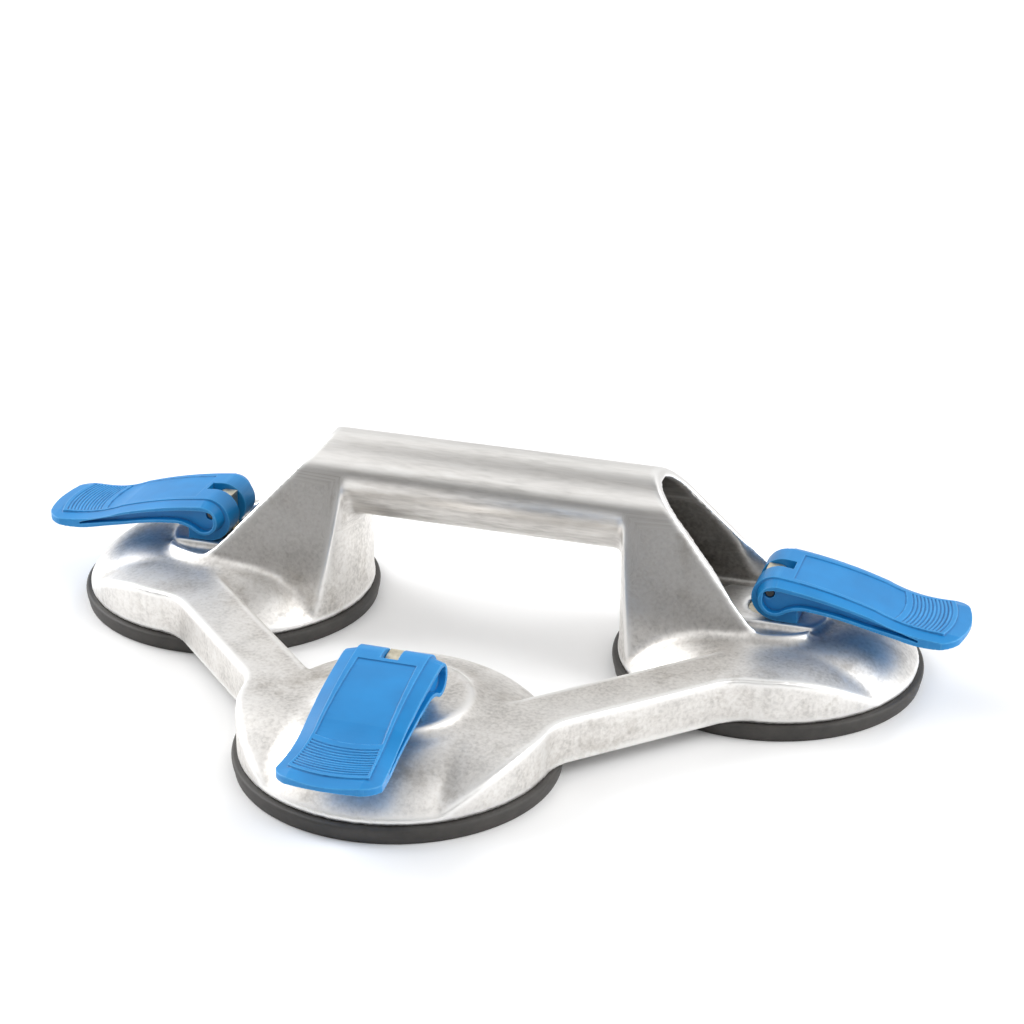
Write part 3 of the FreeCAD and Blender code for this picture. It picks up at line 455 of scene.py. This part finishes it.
@dataclass(frozen=True)
class PlatedSteel(Finish):
    """Steel turned or sawn and then plated: a thin film of colour over fine machining lines."""

    name: str = "zinc_plated_steel"
    dark: str = "#8d8f90"
    light: str = "#b9bbbc"
    roughness: float = 0.34
    blotch_mm: float = 3.0
    line_mm: float = 0.3
    line_stretch: float = 0.04  # how far the pattern is drawn out along a line

    def dress(self, tree: bpy.types.NodeTree, shader: bpy.types.Node) -> None:
        """Blotches of plating in the colour, and level machining lines in the bump.

        Args:
            tree: the material's node tree.
            shader: its main shader.
        """
        place = add_node(tree, "ShaderNodeTexCoord").outputs["Object"]
        blotch = add_node(tree, "ShaderNodeTexNoise", inputs={
            "Vector": place, "Scale": 1 / (self.blotch_mm * MM), "Detail": 3.0})
        colour = add_node(tree, "ShaderNodeValToRGB", inputs={"Fac": blotch.outputs["Fac"]}, stops=[
            (0.3, self.dark), (0.7, self.light)])
        tree.links.new(colour.outputs["Color"], shader.inputs["Base Color"])
        shader.inputs["Metallic"].default_value = 1.0
        shader.inputs["Roughness"].default_value = self.roughness
        squeezed = add_node(tree, "ShaderNodeMapping", inputs={
            "Vector": place, "Scale": (self.line_stretch, self.line_stretch, 1.0)})
        lines = add_node(tree, "ShaderNodeTexNoise", inputs={
            "Vector": squeezed.outputs["Vector"], "Scale": 1 / (self.line_mm * MM), "Detail": 1.0})
        bump = add_node(tree, "ShaderNodeBump", inputs={
            "Strength": 0.25, "Distance": 0.02 * MM, "Height": lines.outputs["Fac"]})
        tree.links.new(bump.outputs["Normal"], shader.inputs["Normal"])


CASTING = TumbledCasting()
BLUE_NYLON = MouldedPlastic()
RUBBER = MouldedRubber()
# the backing plates: an even cool grey
ZINC_STEEL = PlatedSteel()
# the drawbars: a thin straw-coloured film over a softer shine
YELLOW_ZINC = PlatedSteel("yellow_passivated_steel", "#c4bca6", "#ece5d2", 0.42)
# the hinge pins: dark grey, and glossier
PIN_STEEL = PlatedSteel("dark_pin_steel", "#3b3d3f", "#5d5f61", 0.28)


# ------------------------------------------------------------------------------ mesh helpers
def link(name: str, mesh: bpy.types.Mesh) -> bpy.types.Object:
    """Put a mesh in the scene as an object at the origin.

    Args:
        name: the object's name.
        mesh: its mesh, with its place in its vertices.

    Returns:
        The new object.
    """
    piece = bpy.data.objects.new(name, mesh)
    bpy.context.scene.collection.objects.link(piece)
    return piece


def shade_smooth(mesh: bpy.types.Mesh) -> None:
    """Shade every face smooth."""
    mesh.polygons.foreach_set("use_smooth", [True] * len(mesh.polygons))


def merged_copy(frame: dict[str, Any], node: str) -> bpy.types.Mesh:
    """A copy of a construction node's mesh with its loose triangles joined up.

    Args:
        node: the node's name.

    Returns:
        The new mesh.
    """
    mesh = frame["nodes"][node].data.copy()
    mesh.name = f"{node}_joined"
    shape = bmesh.new()
    shape.from_mesh(mesh)
    bmesh.ops.remove_doubles(shape, verts=shape.verts, dist=SAME_POINT)
    shape.to_mesh(mesh)
    shape.free()
    return mesh


def numbers(values: Any, name: str, width: int, kind: type = float) -> np.ndarray:
    """Read one property of every item of a mesh collection.

    Args:
        values: the collection, such as mesh.vertices.
        name: the property's name.
        width: how many numbers an item has.
        kind: the numbers' type.

    Returns:
        An array with a row for each item.
    """
    flat = np.empty(len(values) * width, dtype=np.float32 if kind is float else np.int32)
    values.foreach_get(name, flat)
    return flat.reshape(-1, width) if width > 1 else flat


def spread(mesh: bpy.types.Mesh, values: np.ndarray, passes: int) -> np.ndarray:
    """Average a value of each vertex with its neighbours' a number of times.

    Args:
        mesh: the mesh whose edges join the neighbours.
        values: one number, or one row, for each vertex.
        passes: how many times to average.

    Returns:
        The evened values.
    """
    edges = numbers(mesh.edges, "vertices", 2, int)
    first, second = edges[:, 0], edges[:, 1]
    degree = np.bincount(edges.ravel(), minlength=len(values)).clip(1)
    columns = values.reshape(len(values), -1)
    for _ in range(passes):
        columns = np.stack([
            (np.bincount(first, column[second], len(column))
             + np.bincount(second, column[first], len(column))) / degree
            for column in columns.T], axis=1)
    return columns.reshape(values.shape)


@dataclass
class EdgeSoftening:
    """Rounds every edge of a solid by remeshing it finely and smoothing what results.

    A casting's inner corners are rounder than its outer ones, so they can take more passes.

    Attributes:
        cell: size of the remesh's cells.
        passes: smoothing passes over the whole surface.
        most_triangles: the limit that the result is thinned to.
        hollow_passes: further passes in inner corners.
        hollow_depth: depth below its neighbours from which a point is wholly in a corner.
        fine_evening: passes that even the depth out before a fine corner is told.
        broad_evening: further passes before a broad one is told.
        edge_depth: height above its neighbours from which a point is wholly on an edge.
        edge_evening: passes that even the stored edge form out.
    """

    cell: float
    passes: int
    most_triangles: int
    hollow_passes: int = 0
    hollow_depth: float = 0.008 * MM
    fine_evening: int = 3
    broad_evening: int = 11
    edge_depth: float = 0.02 * MM
    edge_evening: int = 5
    edge_attribute: ClassVar[str] = "edge_form"

    def apply(self, name: str, mesh: bpy.types.Mesh) -> bpy.types.Mesh:
        """Soften a closed mesh.

        Args:
            name: name for the new mesh.
            mesh: the closed mesh to soften.

        Returns:
            The softened mesh, smooth-shaded.
        """
        worked = link(f"{name}_blank", mesh)
        remesh = worked.modifiers.new("remesh", "REMESH")
        remesh.mode = "VOXEL"
        remesh.voxel_size = self.cell
        self.add_smoothing(worked, self.passes)
        self.keep_result(worked)
        if self.hollow_passes:
            self.mark_hollows(worked)
            self.add_smoothing(worked, self.hollow_passes).vertex_group = "hollows"
            self.keep_result(worked)
        form = spread(worked.data, -self.depth(worked.data), self.edge_evening) / self.edge_depth
        marks = worked.data.attributes.new(self.edge_attribute, "FLOAT", "POINT")
        marks.data.foreach_set("value", form.clip(-1.0, 1.0).astype(np.float32))
        shade_smooth(worked.data)
        self.thin_out(worked)
        result = worked.data
        bpy.data.objects.remove(worked)
        result.name = name
        result.materials.clear()
        return result

    def thin_out(self, worked: bpy.types.Object) -> None:
        """Bring the mesh down to its triangle limit while it keeps the fine mesh's shading.

        Args:
            worked: the object whose mesh is thinned.
        """
        triangles = 2 * len(worked.data.polygons)
        if triangles <= self.most_triangles:
            return
        fine = link(f"{worked.name}_fine", worked.data.copy())
        thin = worked.modifiers.new("thin", "DECIMATE")
        thin.ratio = self.most_triangles / triangles
        self.keep_result(worked)
        shade_smooth(worked.data)
        shading = worked.modifiers.new("shading", "DATA_TRANSFER")
        shading.object = fine
        shading.use_loop_data = True
        shading.data_types_loops = {"CUSTOM_NORMAL"}
        shading.loop_mapping = "POLYINTERP_NEAREST"
        self.keep_result(worked)
        bpy.data.objects.remove(fine)

    def mark_hollows(self, worked: bpy.types.Object) -> None:
        """Weigh the vertices that lie in inner corners, broad ones and fine ones.

        Args:
            worked: the object that gets a vertex group named "hollows".
        """
        mesh = worked.data
        fine = spread(mesh, self.depth(mesh), self.fine_evening)
        broad = spread(mesh, fine, self.broad_evening)
        hollow = np.maximum(spread(mesh, fine.clip(0.0, None), self.fine_evening), broad)
        weights = (hollow / self.hollow_depth).clip(0.0, 1.0).round(1)
        group = worked.vertex_groups.new(name="hollows")
        for weight in np.unique(weights[weights > 0]):
            group.add(np.flatnonzero(weights == weight).tolist(), float(weight), "REPLACE")

    @staticmethod
    def depth(mesh: bpy.types.Mesh) -> np.ndarray:
        """How far each vertex lies below its neighbours' mean, along its normal."""
        place = numbers(mesh.vertices, "co", 3)
        return ((spread(mesh, place, 1) - place) * numbers(mesh.vertices, "normal", 3)).sum(axis=1)

    @staticmethod
    def add_smoothing(worked: bpy.types.Object, passes: int) -> bpy.types.Modifier:
        """Add a smoothing step to an object.

        Args:
            worked: the object.
            passes: how many times to smooth.

        Returns:
            The step's modifier.
        """
        smooth = worked.modifiers.new("smooth", "SMOOTH")
        smooth.factor = 0.5
        smooth.iterations = passes
        return smooth

    @staticmethod
    def keep_result(worked: bpy.types.Object) -> None:
        """Give the object its own finished mesh and clear its modifiers.

        Args:
            worked: the object.
        """
        graph = bpy.context.evaluated_depsgraph_get()
        result = bpy.data.meshes.new_from_object(worked.evaluated_get(graph))
        worked.modifiers.clear()
        worked.data = result


@dataclass
class TumblingReach:
    """Works out how open each point of a casting is to the stones of a tumbling barrel, and so to
    light: the finish uses it for the dull as-cast skin and for painted shade in hollows.

    Attributes:
        rays: rays sent out from each point.
        look: how far each ray goes.
        lift: how far above the surface it starts.
        evening: passes that even the result out.
    """

    rays: int = 12
    look: float = 60 * MM
    lift: float = 0.4 * MM
    evening: int = 4

    def mark(self, mesh: bpy.types.Mesh, attribute: str) -> None:
        """Store for each vertex the share of rays that leave it freely.

        Args:
            mesh: the casting.
            attribute: name of the attribute to store.
        """
        tree = BVHTree.FromPolygons([vertex.co for vertex in mesh.vertices],
                                    [face.vertices for face in mesh.polygons])
        fan = self.fan()
        reach = np.empty(len(mesh.vertices), dtype=np.float32)
        for vertex in mesh.vertices:
            turn = vertex.normal.to_track_quat("Z", "Y")
            start = vertex.co + vertex.normal * self.lift
            free = sum(tree.ray_cast(start, turn @ ray, self.look)[0] is None for ray in fan)
            reach[vertex.index] = free / self.rays
        stored = mesh.attributes.new(attribute, "FLOAT", "POINT")
        stored.data.foreach_set("value", spread(mesh, reach, self.evening).astype(np.float32))

    def fan(self) -> list[Vector]:
        """Directions spread over the upper half of a ball, more of them near its top.

        Returns:
            A unit vector for each ray.
        """
        golden_angle = math.pi * (3 - math.sqrt(5))
        rays = []
        for number in range(self.rays):
            level = math.sqrt((number + 0.5) / self.rays)
            flat, turn = math.sqrt(1 - level ** 2), golden_angle * number
            rays.append(Vector((flat * math.cos(turn), flat * math.sin(turn), level)))
        return rays


def turned(name: str, section: list[tuple[float, float]], centre: Vector, steps: int,
           closed: bool = False) -> bpy.types.Mesh:
    """Turn a section about a vertical axis.

    Args:
        name: name for the mesh.
        section: radii and heights in metres, in order from the underside round to the top.
        centre: where the axis meets the floor.
        steps: number of steps in the full turn.
        closed: whether the section's ends join up, as on a ring.

    Returns:
        The turned mesh, with faces pointing outwards.
    """
    shape = bmesh.new()
    points = [shape.verts.new(centre + Vector((radius, 0.0, height))) for radius, height in section]
    pairs = list(zip(points, points[1:] + points[:1] if closed else points[1:]))
    edges = [shape.edges.new(pair) for pair in pairs]
    bmesh.ops.spin(shape, geom=points + edges, cent=centre, axis=(0, 0, 1), angle=math.tau,
                   steps=steps, use_merge=True)
    bmesh.ops.remove_doubles(shape, verts=shape.verts, dist=SAME_RING_POINT)
    bmesh.ops.recalc_face_normals(shape, faces=shape.faces)
    mesh = bpy.data.meshes.new(name)
    shape.to_mesh(mesh)
    shape.free()
    shade_smooth(mesh)
    return mesh


# ------------------------------------------------------------------------------ sub-assemblies
@dataclass
class CastFrame:
    """The die casting: three housings, two arms, two legs and the handle in one piece."""

    frame: dict[str, Any]
    softening: EdgeSoftening = field(default_factory=lambda: EdgeSoftening(
        cell=0.7 * MM, passes=18, most_triangles=195_000, hollow_passes=70))
    # How open each point is, for the as-cast grey and for the painted shade in hollows.
    reach: TumblingReach = field(default_factory=TumblingReach)

    def build(self) -> bpy.types.Object:
        """Make the casting with its edges rounded as a tumbled casting's are.

        Returns:
            The finished piece.
        """
        mesh = self.softening.apply("cast_frame", merged_copy(self.frame, "cast_body"))
        self.reach.mark(mesh, CASTING.reach_attribute)
        piece = link("cast_frame", mesh)
        mesh.materials.append(CASTING.material())
        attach(piece, "frame")
        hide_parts("cast_body")
        return piece


@dataclass
class SuctionPad:
    """A rubber pad in two pieces: the outer ring and the drawn-up middle, both fixed to the frame.

    Attributes:
        cup: the cup that the pad belongs to.
        radius: the pad's outer radius, at the top of its edge.
        lip_radius: outer radius of the sealing lip, on the floor.
        seat: height of the face that the casting sits on.
        joint_radius: where the ring meets the middle.
        middle_top: height of the middle's top under the steel plate, at rest.
        drawn_up: height of the middle's underside, at rest.
        steps: steps in a full turn.
    """

    cup: Cup
    radius: float = 60.0 * MM
    lip_radius: float = 59.1 * MM
    seat: float = 6.3 * MM
    joint_radius: float = 47.0 * MM
    middle_top: float = 9.0 * MM
    drawn_up: float = 5.0 * MM
    steps: int = 144

    def build(self) -> list[bpy.types.Object]:
        """Make the ring and the middle."""
        return [self.ring(), self.middle()]

    def dress(self, piece: bpy.types.Object) -> bpy.types.Object:
        """Give a piece of the pad its rubber and set it on the frame.

        Args:
            piece: the ring or the middle.

        Returns:
            The same piece.
        """
        piece.data.materials.append(RUBBER.material())
        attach(piece, "frame")
        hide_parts(f"{self.cup.side}_suction_pad")
        return piece

    def ring(self) -> bpy.types.Object:
        """The outer ring, with rounded edges and a sealing lip below.

        Returns:
            The finished piece.
        """
        inner, lip, outer, top = self.joint_radius, self.lip_radius, self.radius, self.seat
        section = [
            (inner, 0.1 * MM), (inner + 1 * MM, 0.0), (lip - 0.5 * MM, 0.0), (lip, 0.35 * MM),
            (lip + 0.35 * MM, 2.2 * MM), (outer - 0.1 * MM, 4.0 * MM), (outer, top - 1.3 * MM),
            (outer - 0.12 * MM, top - 0.6 * MM), (outer - 0.5 * MM, top - 0.15 * MM),
            (outer - 1.1 * MM, top), (inner, top),
        ]
        mesh = turned(f"{self.cup.side}_pad_ring", section, self.cup.centre, self.steps, closed=True)
        return self.dress(link(mesh.name, mesh))

    def middle(self) -> bpy.types.Object:
        """The middle, drawn up off the floor.

        Returns:
            The finished piece.
        """
        section = [
            (0.0, self.drawn_up), (18 * MM, self.drawn_up), (30 * MM, 3.0 * MM),
            (self.joint_radius, 0.1 * MM), (self.joint_radius, self.seat),
            (26 * MM, self.middle_top), (0.0, self.middle_top),
        ]
        mesh = turned(f"{self.cup.side}_pad_middle", section, self.cup.centre, self.steps)
        piece = self.dress(link(mesh.name, mesh))
        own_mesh(piece)
        return piece


@dataclass
class Levers:
    """The three cam levers, which are one moulding."""

    frame: dict[str, Any]
    softening: EdgeSoftening = field(default_factory=lambda: EdgeSoftening(
        cell=0.2 * MM, passes=2, most_triangles=150_000, edge_evening=1))

    def build(self) -> list[bpy.types.Object]:
        """Make the right lever and set a copy of it at each cup.

        Returns:
            The three levers.
        """
        mould = self.softening.apply("lever_moulding", merged_copy(self.frame, "right_lever"))
        pieces = []
        for cup in Cup:
            mesh = mould.copy()
            mesh.transform(cup.from_right)
            mesh.name = f"{cup.side}_lever_moulding"
            mesh.materials.append(BLUE_NYLON.material())
            piece = link(mesh.name, mesh)
            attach(piece, f"{cup.side}_lever_arm")
            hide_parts(f"{cup.side}_lever")
            pieces.append(piece)
        bpy.data.meshes.remove(mould)
        return pieces


@dataclass
class Ironwork:
    """The steel pieces under and in each lever, which keep their construction shapes."""

    frame: dict[str, Any]

    def build(self) -> list[bpy.types.Object]:
        """Give each steel piece its plating.

        Returns:
            The nine dressed construction pieces.
        """
        pieces = []
        for cup in Cup:
            for part, finish in (("backing_plate", ZINC_STEEL), ("drawbar", YELLOW_ZINC),
                                 ("hinge_pin", PIN_STEEL)):
                piece = self.frame["nodes"][f"{cup.side}_{part}"]
                piece.data.materials.clear()
                piece.data.materials.append(finish.material())
                pieces.append(piece)
        return pieces


# ------------------------------------------------------------------------------ studio
@dataclass(frozen=True)
class SoftBox:
    """A large soft lamp that faces the middle of the object.

    Attributes:
        name: the lamp's name.
        place: its centre.
        size: its width and height.
        power: its power in watts.
        aim_height: height above the floor of the point that it faces.
    """

    name: str
    place: tuple[float, float, float]
    size: tuple[float, float]
    power: float
    aim_height: float = 20 * MM

    def hang(self) -> None:
        """Put the lamp in the scene."""
        lamp = bpy.data.lights.new(self.name, "AREA")
        lamp.shape = "RECTANGLE"
        lamp.size, lamp.size_y = self.size
        lamp.energy = self.power
        box = bpy.data.objects.new(self.name, lamp)
        box.location = self.place
        aim = Vector((0.0, 0.0, self.aim_height)) - Vector(self.place)
        box.rotation_euler = aim.to_track_quat("-Z", "Y").to_euler()
        bpy.context.scene.collection.objects.link(box)


@dataclass(frozen=True)
class Viewpoint:
    """The camera: a long lens from the front right, nearly half a metre above the floor.

    Attributes:
        lens_mm: focal length.
        right: how far to the right of the middle it stands.
        forward: how far in front of the handle's line.
        height: height above the floor.
        azimuth: degrees to the left of +Y that it looks.
        pitch: degrees that it looks down.
        roll: degrees that it leans about its own axis.
    """

    lens_mm: float = 89.4
    right: float = 0.2753
    forward: float = 0.8655
    height: float = 0.4565
    azimuth: float = 17.187
    pitch: float = 24.095
    roll: float = 0.449

    def take(self, handle_y: float) -> None:
        """Put the camera in the scene and make it the one that looks.

        Args:
            handle_y: where the handle's line crosses the Y axis.
        """
        lens = bpy.data.cameras.new("camera")
        lens.lens = self.lens_mm
        lens.clip_start, lens.clip_end = 0.05, 50.0
        camera = bpy.data.objects.new("camera", lens)
        camera.location = (self.right, handle_y - self.forward, self.height)
        look = Euler((math.radians(90 - self.pitch), 0.0, math.radians(self.azimuth))).to_matrix()
        lean = Matrix.Rotation(math.radians(self.roll), 3, "Z")
        camera.rotation_euler = (look @ lean).to_euler()
        bpy.context.scene.collection.objects.link(camera)
        bpy.context.scene.camera = camera


@dataclass
class Studio:
    """A pale floor, soft lights and the camera.

    Attributes:
        handle_y: where the handle's line crosses the Y axis.
        floor_half: half the floor's width.
        floor_colour: its paint.
        floor_roughness: how matt the paint is.
        room_strength: how brightly the room shines.
        front_start: how far towards -Y a direction points where the room's front begins.
        front_end: how far it points where the front is all there is.
        boxes: the lamps at the sides.
        viewpoint: the camera.
    """

    handle_y: float
    floor_half: float = 5.0
    floor_colour: str = "#f8f8f8"
    floor_roughness: float = 0.9
    room_strength: float = 1.4
    front_start: float = -0.35
    front_end: float = -0.8
    boxes: tuple[SoftBox, ...] = (
        SoftBox("left_box", (-1.4, 0.25, 0.85), (1.1, 1.4), 21.0),
        SoftBox("right_box", (1.4, 0.15, 0.85), (1.0, 1.4), 16.0),
    )
    viewpoint: Viewpoint = Viewpoint()

    def build(self) -> None:
        """Lay the floor, light the room and place the camera."""
        self.lay_floor()
        self.light_room()
        for box in self.boxes:
            box.hang()
        self.viewpoint.take(self.handle_y)

    def lay_floor(self) -> None:
        """A large matt white floor under the pads."""
        shape = bmesh.new()
        bmesh.ops.create_grid(shape, x_segments=1, y_segments=1, size=self.floor_half)
        mesh = bpy.data.meshes.new("studio_floor")
        shape.to_mesh(mesh)
        shape.free()
        floor = link("studio_floor", mesh)
        paint = bpy.data.materials.new("white_paper")
        paint.use_nodes = True
        shader = paint.node_tree.nodes["Principled BSDF"]
        shader.inputs["Base Color"].default_value = linear(self.floor_colour)
        shader.inputs["Roughness"].default_value = self.floor_roughness
        mesh.materials.append(paint)

    def light_room(self) -> None:
        """A white room whose front is dark below, bright at mid height and grey overhead."""
        world = bpy.data.worlds.new("studio")
        bpy.context.scene.world = world
        world.use_nodes = True
        tree = world.node_tree
        direction = add_node(tree, "ShaderNodeTexCoord").outputs["Generated"]
        parts = add_node(tree, "ShaderNodeSeparateXYZ", inputs={"Vector": direction}).outputs
        walls = add_node(tree, "ShaderNodeValToRGB", inputs={"Fac": parts["Z"]}, stops=[
            (0.0, "#c4c4c4"), (0.2, "#c7c7c7"), (0.45, "#cecece"), (0.8, "#e6e6e6"),
            (0.93, "#a0a0a0"), (1.0, "#6e6e6e")])
        front = add_node(tree, "ShaderNodeValToRGB", inputs={"Fac": parts["Z"]}, stops=[
            (0.0, "#262626"), (0.25, "#2e2e2e"), (0.43, "#b8b8b8"), (0.62, "#ffffff"),
            (0.85, "#b4b4b4"), (1.0, "#6e6e6e")])
        towards_front = add_node(tree, "ShaderNodeMapRange", {
            "interpolation_type": "SMOOTHSTEP"}, {
            "Value": parts["Y"], "From Min": self.front_start, "From Max": self.front_end})
        room = add_node(tree, "ShaderNodeMix", {"data_type": "RGBA"}, {
            "Factor": towards_front.outputs["Result"], 6: walls.outputs["Color"],
            7: front.outputs["Color"]})
        background = tree.nodes["Background"]
        tree.links.new(room.outputs[2], background.inputs["Color"])
        background.inputs["Strength"].default_value = self.room_strength


def main() -> None:
    """Build the looks round the construction model."""
    logging.basicConfig(level=logging.INFO, format="%(name)s: %(message)s")
    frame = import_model()
    bpy.context.scene.view_settings.view_transform = "Standard"
    low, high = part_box("right_suction_pad")
    handle_y = (low.y + high.y) / 2
    made = [CastFrame(frame).build()]
    for cup in Cup:
        made += SuctionPad(cup).build()
    made += Levers(frame).build()
    made += Ironwork(frame).build()
    Studio(handle_y).build()
    for piece in made:
        LOG.info("%s: %d faces, %s", piece.name, len(piece.data.polygons),
                 ", ".join(material.name for material in piece.data.materials))


if __name__ == "__main__":
    main()
